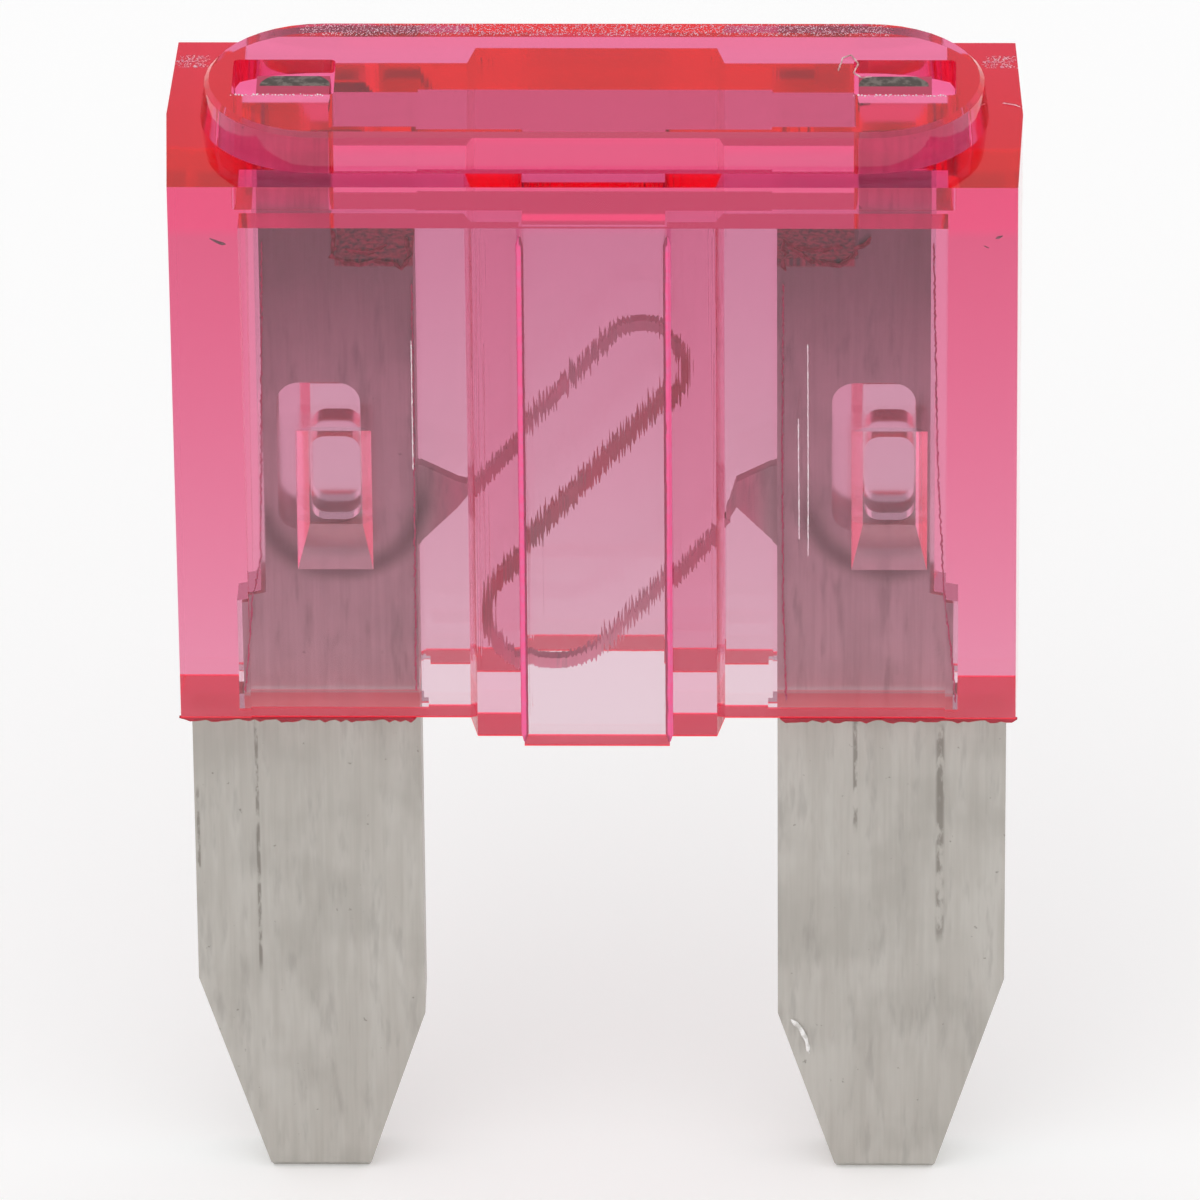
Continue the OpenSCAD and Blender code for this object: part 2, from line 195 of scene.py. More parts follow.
# Threads: name, lines, radius and wobble in mm, seed, sides, unevenness, finish and slot
THREADS = (
    ("fibre", FIBRE, 0.010, 0.004, 5, 6, TEAR_UNEVEN, "lint", PLASTIC_SLOT),
    ("panel_edges", PANEL_EDGES, 0.050, 0.001, 15, 6, EDGE_UNEVEN, "glowing_edge", PLASTIC_SLOT),
    ("hairline", HAIRS, 0.008, 0.002, 6, 6, TEAR_UNEVEN, "pale_dust", PLASTIC_SLOT),
    ("specks", SPECKS, 0.022, 0.012, 7, 6, TEAR_UNEVEN, "grey_grime", ZINC_SLOT),
    ("blade_burr", BURR, 0.03, 0.006, 14, 6, TEAR_UNEVEN, "burr_painted_highlight", ZINC_SLOT),
    ("pocket_edge_lines", POCKET_EDGE_LINES, 0.016, 0.009, 12, 4, TEAR_UNEVEN, "pocket_edge_red_light", PLASTIC_SLOT),
    ("tears", TEARS, 0.034, 0.03, 9, 6, TEAR_UNEVEN, "torn_plastic", PLASTIC_SLOT),
)

# Dust, and the ears' painted highlight grains: middle and half reach across, middle in depth, scatter, and grain
# as a share of the wear setting
BUTTON_DUST = (0.0, 3.75, 1.25, (0.06, 0.15), 0.6)
SLOT_DUST_X = (-0.66, 0.5)
SLOT_DUST_SPREAD = (0.03, 0.025)
SLOT_GRAINS = 46
SLOTS_X = {"left": -3.955, "right": 3.955}
# painted highlight: pale grains on the ears' backs
EAR_HIGHLIGHT = (0.18, 1.38, (0.06, 0.16), 0.7)
EAR_GRAINS = 210
EARS_X = {"left": -5.17, "right": 5.17}
SCATTER_SEED = 3
SIZE_SEED = 8
GRAIN_SIZES = (0.4, 1.6)

# Flash: reach across of each fin in mm, its seed, count of steps and shares of its depth
FLASH_X = {"left": (-5.44, -2.36), "right": (2.36, 5.44)}
FLASH_SEED = 21
FLASH_STEPS = 44
FLASH_TOP_Z = -0.002 * MM
FLASH_DROP = (0.25, 1.0)
FLASH_END_DROP = 0.1

# Studio
FLOOR_HALF = 0.4
FLOOR_ROUGHNESS = 0.9
HIGH_BACK_DIRECTION = (0.0, 0.766, 0.643)
HIGH_BACK_RANGE = (0.45, 0.92)
LAMP_PLACE = (-0.12, -0.16, 0.26)
LAMP_SIZE = 0.22
LAMP_POWER = 0.05
LOOK_AT = (0.0174 * MM, 0.0, 1.162 * MM)
SENSOR = 36
CLIP = (1 * MM, 2)


class FusePlastic(bpy.types.PropertyGroup):
    """Colours and surface of the clear pink housing."""

    tint: bpy.props.FloatVectorProperty(
        name="Tint", description="Colour that one absorption length of plastic lets through",
        subtype="COLOR", size=3, min=0.0, max=1.0, default=(0.985, 0.16, 0.482),
    )
    density: bpy.props.FloatProperty(
        name="Density", description="Absorption per metre of plastic", default=587.0, min=0.0
    )
    # painted shade: the tint is graded in height, paler at the foot and pinker towards the crown and button,
    # standing in for the pink-tinted shade seen through the walls
    foot_shade_tint: bpy.props.FloatVectorProperty(
        name="Skin at the foot", description="Colour of the moulded skin at the seating face",
        subtype="COLOR", size=3, min=0.0, max=1.0, default=(0.845, 0.83, 0.84),
    )
    shoulder_shade_tint: bpy.props.FloatVectorProperty(
        name="Skin under the crown", description="Colour of the moulded skin just under the crown",
        subtype="COLOR", size=3, min=0.0, max=1.0, default=(0.765, 0.54, 0.65),
    )
    crown_shade_tint: bpy.props.FloatVectorProperty(
        name="Skin at the crown", description="Colour of the moulded skin at the crown",
        subtype="COLOR", size=3, min=0.0, max=1.0, default=(0.96, 0.36, 0.60),
    )
    button_shade_tint: bpy.props.FloatVectorProperty(
        name="Skin of the button", description="Colour of the moulded skin of the rounded button",
        subtype="COLOR", size=3, min=0.0, max=1.0, default=(0.90, 0.30, 0.50),
    )
    glow: bpy.props.FloatVectorProperty(
        name="Edge glow", description="Light that the walls pipe down to the rough bottom edges",
        subtype="COLOR", size=3, min=0.0, max=1.0, default=(0.34, 0.004, 0.012),
    )
    roughness: bpy.props.FloatProperty(
        name="Roughness", description="Roughness of the moulded surface", default=0.03, min=0.0, max=1.0
    )
    foot_roughness: bpy.props.FloatProperty(
        name="Foot roughness", description="Roughness added on the trimmed bottom edges", default=0.65,
        min=0.0, max=1.0,
    )
    crown_roughness: bpy.props.FloatProperty(
        name="Crown roughness", description="Roughness added by handling on the crown", default=0.03,
        min=0.0, max=1.0,
    )
    punched_roughness: bpy.props.FloatProperty(
        name="Punched roughness", description="Roughness added where the stakes are punched", default=0.14,
        min=0.0, max=1.0,
    )
    # painted light: a pale pink glow emitted by the punched flanks
    punched_glow: bpy.props.FloatVectorProperty(
        name="Stress whitening", description="Pale pink where the punched walls are stretched",
        subtype="COLOR", size=3, min=0.0, max=1.0, default=(0.22, 0.12, 0.16),
    )
    # painted light: the bottom faces are painted red for the light that the walls pipe down to them
    foot_painted_red: bpy.props.FloatVectorProperty(
        name="Foot edge", description="Colour of the trimmed bottom edges",
        subtype="COLOR", size=3, min=0.0, max=1.0, default=(0.70, 0.04, 0.10),
    )


class FuseMetal(bpy.types.PropertyGroup):
    """Colours and surface of the zinc element."""

    colour: bpy.props.FloatVectorProperty(
        name="Colour", description="Colour of the bare zinc",
        subtype="COLOR", size=3, min=0.0, max=1.0, default=(0.475, 0.45, 0.412),
    )
    # painted light and shade: the bright zinc near the foot is painted light, the darker zinc near the crown is
    # painted shade
    inside: bpy.props.FloatVectorProperty(
        name="Bright zinc", description="Clean zinc inside the housing, near the seating face",
        subtype="COLOR", size=3, min=0.0, max=1.0, default=(0.80, 0.76, 0.72),
    )
    shade_inside: bpy.props.FloatVectorProperty(
        name="Dull zinc", description="Tarnished zinc inside the housing, near the crown",
        subtype="COLOR", size=3, min=0.0, max=1.0, default=(0.42, 0.37, 0.34),
    )
    # painted light: the tongues are painted near white
    tongue: bpy.props.FloatVectorProperty(
        name="Tongues", description="Zinc of the tongues, inside the crown",
        subtype="COLOR", size=3, min=0.0, max=1.0, default=(1.0, 0.98, 0.98),
    )
    # painted light: the link is painted deep red in its middle run and pale pink on its outer runs, for the pink
    # light in its chamber
    link: bpy.props.FloatVectorProperty(
        name="Link", description="Reddish zinc of the link's middle run",
        subtype="COLOR", size=3, min=0.0, max=1.0, default=(0.84, 0.17, 0.26),
    )
    outer_link: bpy.props.FloatVectorProperty(
        name="Outer link", description="Paler zinc of the link's outer runs",
        subtype="COLOR", size=3, min=0.0, max=1.0, default=(1.0, 0.42, 0.56),
    )
    smear: bpy.props.FloatVectorProperty(
        name="Smear", description="Plastic smeared over the tongues' ends and the blades' shoulders",
        subtype="COLOR", size=3, min=0.0, max=1.0, default=(0.66, 0.07, 0.15),
    )
    roughness: bpy.props.FloatProperty(
        name="Roughness", description="Roughness of the rolled surface", default=0.42, min=0.0, max=1.0
    )


class FuseWear(bpy.types.PropertyGroup):
    """Dust, flash and torn bits."""

    dust: bpy.props.IntProperty(
        name="Dust", description="Grains along the button's back edge", default=3200, min=0
    )
    grain: bpy.props.FloatProperty(
        name="Grain", description="Radius of a dust grain", subtype="DISTANCE", default=0.011 * MM
    )
    flash: bpy.props.FloatProperty(
        name="Flash", description="Depth of the ragged flash under the housing", subtype="DISTANCE",
        default=0.075 * MM,
    )


class FuseStudio(bpy.types.PropertyGroup):
    """Floor, light and camera."""

    elevation: bpy.props.FloatProperty(
        name="Elevation", description="Camera's height above the horizon", subtype="ANGLE",
        default=math.radians(31.0),
    )
    azimuth: bpy.props.FloatProperty(
        name="Azimuth", description="Camera's turn round the fuse", subtype="ANGLE",
        default=math.radians(1.12),
    )
    roll: bpy.props.FloatProperty(
        name="Roll", description="Camera's turn about its own view", subtype="ANGLE",
        default=math.radians(0.488),
    )
    distance: bpy.props.FloatProperty(
        name="Distance", description="Camera's distance", subtype="DISTANCE", default=187.2 * MM
    )
    field: bpy.props.FloatProperty(
        name="Field", description="Width of the view at the fuse", subtype="DISTANCE", default=15.6006 * MM
    )
    surroundings: bpy.props.FloatProperty(
        name="Surroundings", description="Strength of the white studio all round", default=1.03, min=0.0
    )
    high_back: bpy.props.FloatProperty(
        name="High at the back", description="How bright the studio is high up behind the fuse", default=0.55,
        min=0.0, max=1.0,
    )
    lift: bpy.props.FloatProperty(
        name="Floor lift", description="White added to the floor as it is seen", default=0.10, min=0.0, max=1.0
    )
    floor: bpy.props.FloatVectorProperty(
        name="Floor", description="Colour of the plain floor",
        subtype="COLOR", size=3, min=0.0, max=1.0, default=(0.985, 0.985, 0.985),
    )


def node(tree, kind, **settings):
    """A new node with its plain settings."""
    made = tree.nodes.new(kind)
    for name, value in settings.items():
        setattr(made, name, value)
    return made


def feed(tree, target, source):
    """Links a socket, or sets a plain value."""
    if isinstance(source, bpy.types.NodeSocket):
        tree.links.new(source, target)
    else:
        target.default_value = source


def math_node(tree, operation, *values):
    """One sum of up to three values."""
    made = node(tree, "ShaderNodeMath", operation=operation)
    for index, value in enumerate(values):
        feed(tree, made.inputs[index], value)
    return made.outputs[0]


def product(tree, first, *others):
    """Several values multiplied in turn."""
    for other in others:
        first = math_node(tree, "MULTIPLY", first, other)
    return first


def absolute(tree, value):
    """A value without its sign."""
    return math_node(tree, "ABSOLUTE", value)


def spread(tree, value, low, high, smooth=True):
    """Maps a value from low..high to 0..1."""
    made = node(tree, "ShaderNodeMapRange", interpolation_type="SMOOTHSTEP" if smooth else "LINEAR")
    feed(tree, made.inputs["Value"], value)
    feed(tree, made.inputs["From Min"], low)
    feed(tree, made.inputs["From Max"], high)
    return made.outputs["Result"]


def band(tree, value, rise, full, still_full, end):
    """Maps a value to 1 between two places and to 0 outside them."""
    return product(tree, spread(tree, value, rise, full), spread(tree, value, end, still_full))


def blend(tree, amount, first, second):
    """Mixes two colours."""
    made = node(tree, "ShaderNodeMix", data_type="RGBA", blend_type="MIX")
    feed(tree, made.inputs["Factor"], amount)
    for name, colour in (("A", first), ("B", second)):
        socket = [s for s in made.inputs if s.name == name and s.type == "RGBA"][0]
        feed(tree, socket, colour if isinstance(colour, bpy.types.NodeSocket) else (*colour, 1))
    return [s for s in made.outputs if s.type == "RGBA"][0]


def split(tree, vector):
    """The X, Y and Z of a vector."""
    made = node(tree, "ShaderNodeSeparateXYZ")
    feed(tree, made.inputs[0], vector)
    return made.outputs


def object_vector(tree):
    """Places in the object's own space."""
    return node(tree, "ShaderNodeTexCoord").outputs["Object"]


def add_bump(tree, shader, height, distance, strength):
    """Gives a shader a fine relief."""
    bump = node(tree, "ShaderNodeBump")
    feed(tree, bump.inputs["Height"], height)
    bump.inputs["Distance"].default_value = distance
    bump.inputs["Strength"].default_value = strength
    feed(tree, shader.inputs["Normal"], bump.outputs["Normal"])


def group_tree(name, inputs, outputs):
    """An empty shader node group with named inputs and outputs."""
    tree = bpy.data.node_groups.new(name, "ShaderNodeTree")
    for key, (kind, default) in inputs.items():
        socket = tree.interface.new_socket(name=key, in_out="INPUT", socket_type=kind)
        if default is not None:
            socket.default_value = default
    for key, kind in outputs.items():
        tree.interface.new_socket(name=key, in_out="OUTPUT", socket_type=kind)
    return tree, tree.nodes.new("NodeGroupInput").outputs, tree.nodes.new("NodeGroupOutput").inputs


def streaks_group():
    """Fine lines along the height, as rolling and drawing leave them."""
    tree, given, out = group_tree(
        "upright_streaks",
        {"Vector": (VECTOR, None), "Across": (FLOAT, 9000.0), "Along": (FLOAT, 260.0), "Low": (FLOAT, 0.35),
         "High": (FLOAT, 0.7), "Detail": (FLOAT, 3.0)},
        {"Tone": FLOAT, "Mask": FLOAT},
    )
    scale = node(tree, "ShaderNodeCombineXYZ")
    for axis, name in enumerate(("Across", "Across", "Along")):
        feed(tree, scale.inputs[axis], given[name])
    stretch = node(tree, "ShaderNodeVectorMath", operation="MULTIPLY")
    feed(tree, stretch.inputs[0], given["Vector"])
    feed(tree, stretch.inputs[1], scale.outputs[0])
    noise = node(tree, "ShaderNodeTexNoise")
    feed(tree, noise.inputs["Vector"], stretch.outputs[0])
    feed(tree, noise.inputs["Scale"], 1.0)
    feed(tree, noise.inputs["Detail"], given["Detail"])
    feed(tree, noise.inputs["Roughness"], 0.6)
    feed(tree, out["Tone"], noise.outputs["Fac"])
    feed(tree, out["Mask"], spread(tree, noise.outputs["Fac"], given["Low"], given["High"]))
    return tree


def blotches_group():
    """Soft smudges and small specks."""
    tree, given, out = group_tree(
        "smudges",
        {"Vector": (VECTOR, None), "Scale": (FLOAT, 900.0), "Low": (FLOAT, 0.5), "High": (FLOAT, 0.7)},
        {"Tone": FLOAT, "Mask": FLOAT},
    )
    noise = node(tree, "ShaderNodeTexNoise")
    feed(tree, noise.inputs["Vector"], given["Vector"])
    feed(tree, noise.inputs["Scale"], given["Scale"])
    feed(tree, noise.inputs["Detail"], 3.0)
    feed(tree, out["Tone"], noise.outputs["Fac"])
    feed(tree, out["Mask"], spread(tree, noise.outputs["Fac"], given["Low"], given["High"]))
    return tree


def ring_group():
    """A soft ring about a point of the front, used as painted shade under the stake pits."""
    tree, given, out = group_tree(
        "shade_ring",
        {"Vector": (VECTOR, None), "Centre X": (FLOAT, 0.0), "Centre Z": (FLOAT, 0.0), "Inner": (FLOAT, 0.0),
         "Outer": (FLOAT, 0.0)},
        {"Ring": FLOAT},
    )
    parts = split(tree, given["Vector"])
    across = math_node(tree, "SUBTRACT", parts["X"], given["Centre X"])
    up = math_node(tree, "SUBTRACT", parts["Z"], given["Centre Z"])
    squares = math_node(tree, "ADD", product(tree, across, across), product(tree, up, up))
    far = math_node(tree, "SQRT", squares)
    middle = product(tree, math_node(tree, "ADD", given["Inner"], given["Outer"]), 0.5)
    feed(tree, out["Ring"], band(tree, far, given["Inner"], middle, middle, given["Outer"]))
    return tree


def effects():
    """The shader node groups, built once."""
    found = bpy.data.node_groups
    makers = {"upright_streaks": streaks_group, "smudges": blotches_group, "shade_ring": ring_group}
    return {name: found.get(name) or maker() for name, maker in makers.items()}


def placed(tree, group, **values):
    """Places a node group in a material with its own values."""
    made = node(tree, "ShaderNodeGroup")
    made.node_tree = group
    for name, value in values.items():
        feed(tree, made.inputs[name.replace("_", " ")], value)
    return made.outputs


def both_shade_rings(tree, vector, ring):
    """Both rings, added."""
    rings = [
        placed(tree, ring, Vector=vector, Centre_X=x, Centre_Z=PIT_Z, Inner=RING_INNER, Outer=RING_OUTER)["Ring"]
        for x in PITS_X
    ]
    return math_node(tree, "ADD", *rings)


def principled(name):
    """A fresh material, its tree and its Principled shader."""
    material = bpy.data.materials.new(name)
    material.use_nodes = True
    return material, material.node_tree, material.node_tree.nodes["Principled BSDF"]


def plastic_material(settings, groups):
    """Clear pink plastic: glass-like, absorbing, with painted shade graded into its tint, a red glowing foot and
    pale glowing punched flanks painted as light.
    """
    material, tree, shader = principled("clear_pink_plastic")
    vector = object_vector(tree)
    parts = split(tree, vector)
    height = parts["Z"]
    side = absolute(tree, parts["X"])
    facing = split(tree, node(tree, "ShaderNodeNewGeometry").outputs["True Normal"])
    foot = math_node(tree, "LESS_THAN", height, FOOT_EDGE_Z)
    crown = spread(tree, height, *CROWN_Z)
    punched = product(tree, band(tree, side, *PUNCHED_X), band(tree, height, *PUNCHED_Z))

    # painted shade: tint paler at the foot and pinker towards the crown and button, standing in for the
    # pink-tinted shade seen through the walls
    shade_tint = blend(tree, spread(tree, height, *SHADE_TINT_Z, smooth=False), settings.foot_shade_tint, settings.shoulder_shade_tint)
    shade_tint = blend(tree, crown, shade_tint, settings.crown_shade_tint)
    shade_tint = blend(tree, spread(tree, height, *BUTTON_Z), shade_tint, settings.button_shade_tint)
    feed(tree, shader.inputs["Base Color"], blend(tree, foot, shade_tint, settings.foot_painted_red))

    rough = math_node(tree, "MULTIPLY_ADD", crown, settings.crown_roughness, settings.roughness)
    rough = math_node(tree, "MULTIPLY_ADD", punched, settings.punched_roughness, rough)
    rough = math_node(tree, "MULTIPLY_ADD", foot, settings.foot_roughness, rough)
    feed(tree, shader.inputs["Roughness"], rough)

    # painted light: the bottom faces emit a red glow and the punched flanks a pale pink glow
    lit = product(tree, foot, math_node(tree, "GREATER_THAN", height, GLOW_FROM_Z))
    flank = product(tree, punched, math_node(tree, "GREATER_THAN", absolute(tree, facing["X"]), UPRIGHT))
    glow = blend(tree, lit, (0, 0, 0), settings.glow)
    feed(tree, shader.inputs["Emission Color"], blend(tree, flank, glow, settings.punched_glow))
    shader.inputs["Emission Strength"].default_value = 1.0
    material.cycles.emission_sampling = "NONE"
    shader.inputs["Transmission Weight"].default_value = 1.0
    shader.inputs["IOR"].default_value = PLASTIC_IOR

    # draw marks: fine grooves up the walls, strongest over the link chamber
    marks = placed(
        tree, groups["upright_streaks"], Vector=vector, Across=DRAW_ACROSS, Along=DRAW_ALONG, Detail=0.0)["Tone"]
    over_chamber = product(tree, spread(tree, side, *CHAMBER_X), spread(tree, height, *CHAMBER_Z))
    depth = math_node(tree, "MULTIPLY_ADD", over_chamber, DRAW_ON_CHAMBER, DRAW_ELSEWHERE)
    upright = math_node(tree, "LESS_THAN", absolute(tree, facing["Z"]), UPRIGHT)
    add_bump(tree, shader, product(tree, marks, depth, upright), DRAW_HEIGHT, 1.0)

    volume = node(tree, "ShaderNodeVolumeAbsorption")
    volume.inputs["Color"].default_value = (*settings.tint, 1)
    volume.inputs["Density"].default_value = settings.density
    feed(tree, tree.nodes["Material Output"].inputs["Volume"], volume.outputs["Volume"])
    return material


def inside_zinc(tree, settings, parts, side):
    """Colour of the zinc inside the housing, with painted light and shade: painted light at the foot, painted
    shade higher up, painted light on the tongues, and the link painted red and pale pink for the pink light in its
    chamber.
    """
    height = parts["Z"]
    inside = blend(tree, spread(tree, height, *SHADE_INSIDE_Z), settings.inside, settings.shade_inside)
    inside = blend(tree, spread(tree, height, *TONGUES_Z), inside, settings.tongue)
    run = math_node(tree, "MULTIPLY_ADD", parts["X"], -math.sin(LINK_ANGLE),
                    product(tree, height, math.cos(LINK_ANGLE)))
    from_run = absolute(tree, math_node(tree, "SUBTRACT", run, LINK_Z * math.cos(LINK_ANGLE)))
    link = blend(tree, spread(tree, from_run, *LINK_MIDDLE_RUN), settings.link, settings.outer_link)
    return blend(tree, spread(tree, side, *LINK_X), inside, link)


def scratched(tree, colour, parts, rub):
    """Rubbed dark lines down the blades."""
    fade_in, fade_out = SCRATCH_FADE
    for place, half, top, bottom in SCRATCHES:
        off = absolute(tree, math_node(tree, "SUBTRACT", parts["X"], place * MM))
        line = spread(tree, off, half * MM, half * SCRATCH_CORE * MM)
        length = band(tree, parts["Z"], bottom * MM, (bottom + fade_in) * MM, (top - fade_out) * MM, top * MM)
        colour = blend(tree, product(tree, line, length, rub, SCRATCH_DEPTH), colour, SCRATCH)
    return colour


def crescent_cover(tree, parts, side, tone):
    """Where plastic covers a tongue's end: all of it but a crescent, which keeps the tongue end's painted shade.
    """
    squares = []
    for value, middle, reach in zip((side, parts["Y"]), CRESCENT_MIDDLE, CRESCENT_REACH):
        share = math_node(tree, "DIVIDE", math_node(tree, "SUBTRACT", value, middle), reach)
        squares.append(product(tree, share, share))
    from_middle = math_node(tree, "ADD", *squares)
    from_middle = math_node(tree, "MULTIPLY_ADD", tone, CRESCENT_UNEVEN, from_middle)
    return math_node(tree, "MAXIMUM", spread(tree, from_middle, *CRESCENT_RIM),
                     spread(tree, parts["Y"], *CRESCENT_FRONT_Y))


def zinc_material(settings, groups):
    """Rolled zinc: upright streaks, stains, scratches, painted shade rings under the stake pits, painted light and
    shade inside the housing, a painted red glow above the seat, painted shade at the tongues' ends, and smeared
    plastic.
    """
    material, tree, shader = principled("rolled_zinc")
    vector = object_vector(tree)
    parts = split(tree, vector)
    height = parts["Z"]
    side = absolute(tree, parts["X"])
    streaks, smudges = groups["upright_streaks"], groups["smudges"]
    fine = placed(tree, streaks, Vector=vector, Across=14000.0, Along=420.0)
    wide = placed(tree, streaks, Vector=vector, Across=2600.0, Along=420.0, Low=0.4, High=0.65)
    stains = placed(tree, streaks, Vector=vector, Across=5200.0, Along=900.0, Low=0.52, High=0.72)
    rub = placed(tree, streaks, Vector=vector, Across=9000.0, Along=3200.0, Low=0.38, High=0.58)["Mask"]
    smudge = placed(tree, smudges, Vector=vector, Scale=900.0, Low=0.42, High=0.66)
    pits = placed(tree, smudges, Vector=vector, Scale=9000.0, Low=0.72, High=0.78)

    within = math_node(tree, "GREATER_THAN", height, 0.0)
    colour = blend(tree, within, settings.colour, inside_zinc(tree, settings, parts, side))
    for mask, amount, mark in (
        (fine["Mask"], 0.15, ROLLING_LINE),
        (wide["Mask"], 0.22, BRIGHT_STREAK),
        (smudge["Mask"], 0.25, SMUDGE),
        (stains["Mask"], 0.35, STAIN),
        (pits["Mask"], 0.5, PIT),
    ):
        colour = blend(tree, product(tree, mask, amount), colour, mark)
    colour = scratched(tree, colour, parts, rub)
    # painted shade: a dark ring under each stake pit, fading out upwards
    ring = product(tree, both_shade_rings(tree, vector, groups["shade_ring"]), spread(tree, height, *RING_FADE_Z))
    colour = blend(tree, product(tree, ring, 0.75), colour, PIT_SHADE_RING)

    # plastic smeared over the blades' shoulders and the tongues' ends; painted shade at the tongues' ends; the red
    # glow of the housing's foot painted as light on the zinc just above the seat
    shoulder = product(tree, band(tree, height, *SHOULDER_Z), spread(tree, side, *SHOULDER_X))
    end = spread(tree, height, *TONGUE_END_Z)
    covered = crescent_cover(tree, parts, side, smudge["Tone"])
    # painted shade: the tongues' ends are painted dark, paler away from the rub streaks
    colour = blend(tree, end, colour, blend(tree, rub, TONGUE_END_PALER_SHADE, TONGUE_END_SHADE))
    colour = blend(tree, product(tree, band(tree, height, *FOOT_GLOW_Z), 0.75), colour, FOOT_GLOW_RED)
    smeared = math_node(tree, "MAXIMUM", shoulder, product(tree, end, covered))
    colour = blend(tree, smeared, colour, settings.smear)
    colour = blend(tree, product(tree, shoulder, fine["Mask"]), colour, TORN_LINE)
    feed(tree, shader.inputs["Base Color"], colour)

    shader.inputs["Metallic"].default_value = 0.5
    rough = math_node(tree, "MULTIPLY_ADD", wide["Tone"], 0.2, settings.roughness - 0.1)
    feed(tree, shader.inputs["Roughness"], rough)
    add_bump(tree, shader, math_node(tree, "ADD", fine["Tone"], smudge["Tone"]), 0.006 * MM, 0.6)
    return material


def small_finish(name, groups):
    """A small piece's material: one colour, mottled with another."""
    colour, mark, roughness, metallic = FINISHES[name]
    material, tree, shader = principled(name)
    mottle = placed(tree, groups["smudges"], Vector=object_vector(tree), Scale=12000.0, Low=0.4, High=0.65)["Mask"]
    feed(tree, shader.inputs["Base Color"], blend(tree, mottle, colour, mark))
    shader.inputs["Roughness"].default_value = roughness
    shader.inputs["Metallic"].default_value = metallic
    return material


def dress(name, material):
    """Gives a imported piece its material."""
    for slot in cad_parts[name].material_slots:
        slot.material = material


def finished(name, mesh, material):
    """Puts a new piece in the scene and tells the frame where it belongs."""
    mesh.materials.clear()
    mesh.materials.append(material)
    piece = bpy.data.objects.new(name, mesh)
    bpy.context.scene.collection.objects.link(piece)
    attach(piece, BODY)


def closed_mesh(name, mesh):
    """Turns a closed bmesh into a mesh whose faces point outwards."""
    bmesh.ops.recalc_face_normals(mesh, faces=mesh.faces)
    made = bpy.data.meshes.new(name)
    mesh.to_mesh(made)
    mesh.free()
    return made


def resampled(points, step):
    """Points a step apart along a line of points."""
    found = [Vector(points[0])]
    for start, end in zip(points, points[1:]):
        start, end = Vector(start), Vector(end)
        count = max(1, round((end - start).length / step))
        found += [start.lerp(end, index / count) for index in range(1, count + 1)]
    return found


def thread_mesh(name, runs, radius, wobble, seed, sides, uneven):
    """Closed uneven threads along lines of points, in mm."""
    rng = random.Random(seed)
    mesh = bmesh.new()
    for run in runs:
        points = resampled(run, radius * 2.5)
        points = [p + Vector([rng.uniform(-wobble, wobble) for _ in range(3)]) for p in points]
        last = len(points) - 1
        rings = []
        for index, point in enumerate(points):
            along = (points[min(index + 1, last)] - points[max(index - 1, 0)]).normalized()
            first = along.orthogonal().normalized()
            second = along.cross(first)
            taper = THREAD_TIP if index in (0, last) else rng.uniform(*uneven)
            ring = []
            for step in range(sides):
                turn = 2 * math.pi * step / sides
                offset = (first * math.cos(turn) + second * math.sin(turn)) * radius * taper
                ring.append(mesh.verts.new((point + offset) * MM))
            rings.append(ring)
        for low, high in zip(rings, rings[1:]):
            shift = min(range(sides), key=lambda s: (high[s].co - low[0].co).length)
            for step in range(sides):
                mesh.faces.new((low[step], low[(step + 1) % sides], high[(step + 1 + shift) % sides],
                                high[(step + shift) % sides]))
        mesh.faces.new(rings[0][::-1])
        mesh.faces.new(rings[-1])
    return closed_mesh(name, mesh)


def flash_mesh(name, low, high, depth, rng):
    """A thin ragged fin under the front bottom edge, between two places in mm."""
    front, rear = WALL_Y
    mesh = bmesh.new()
    columns = []
    for index in range(FLASH_STEPS + 1):
        x = (low + (high - low) * index / FLASH_STEPS) * MM
        drop = depth * (rng.uniform(*FLASH_DROP) if 0 < index < FLASH_STEPS else FLASH_END_DROP)
        columns.append([mesh.verts.new(co) for co in (
            (x, front, FLASH_TOP_Z), (x, front, FLASH_TOP_Z - drop),
            (x, rear, FLASH_TOP_Z - drop), (x, rear, FLASH_TOP_Z))])
    for left, right in zip(columns, columns[1:]):
        for corner in range(4):
            following = (corner + 1) % 4
            mesh.faces.new((left[corner], left[following], right[following], right[corner]))
    mesh.faces.new(columns[0][::-1])
    mesh.faces.new(columns[-1])
    return closed_mesh(name, mesh)


def random_value(tree, kind, low, high, seed):
    """A random value or vector for each point."""
    made = node(tree, "FunctionNodeRandomValue", data_type=kind)
    wanted = "VECTOR" if kind == "FLOAT_VECTOR" else "VALUE"
    for name, value in (("Min", low), ("Max", high)):
        [s for s in made.inputs if s.name == name and s.type == wanted][0].default_value = value
    made.inputs["Seed"].default_value = seed
    return [s for s in made.outputs if s.type == wanted][0]


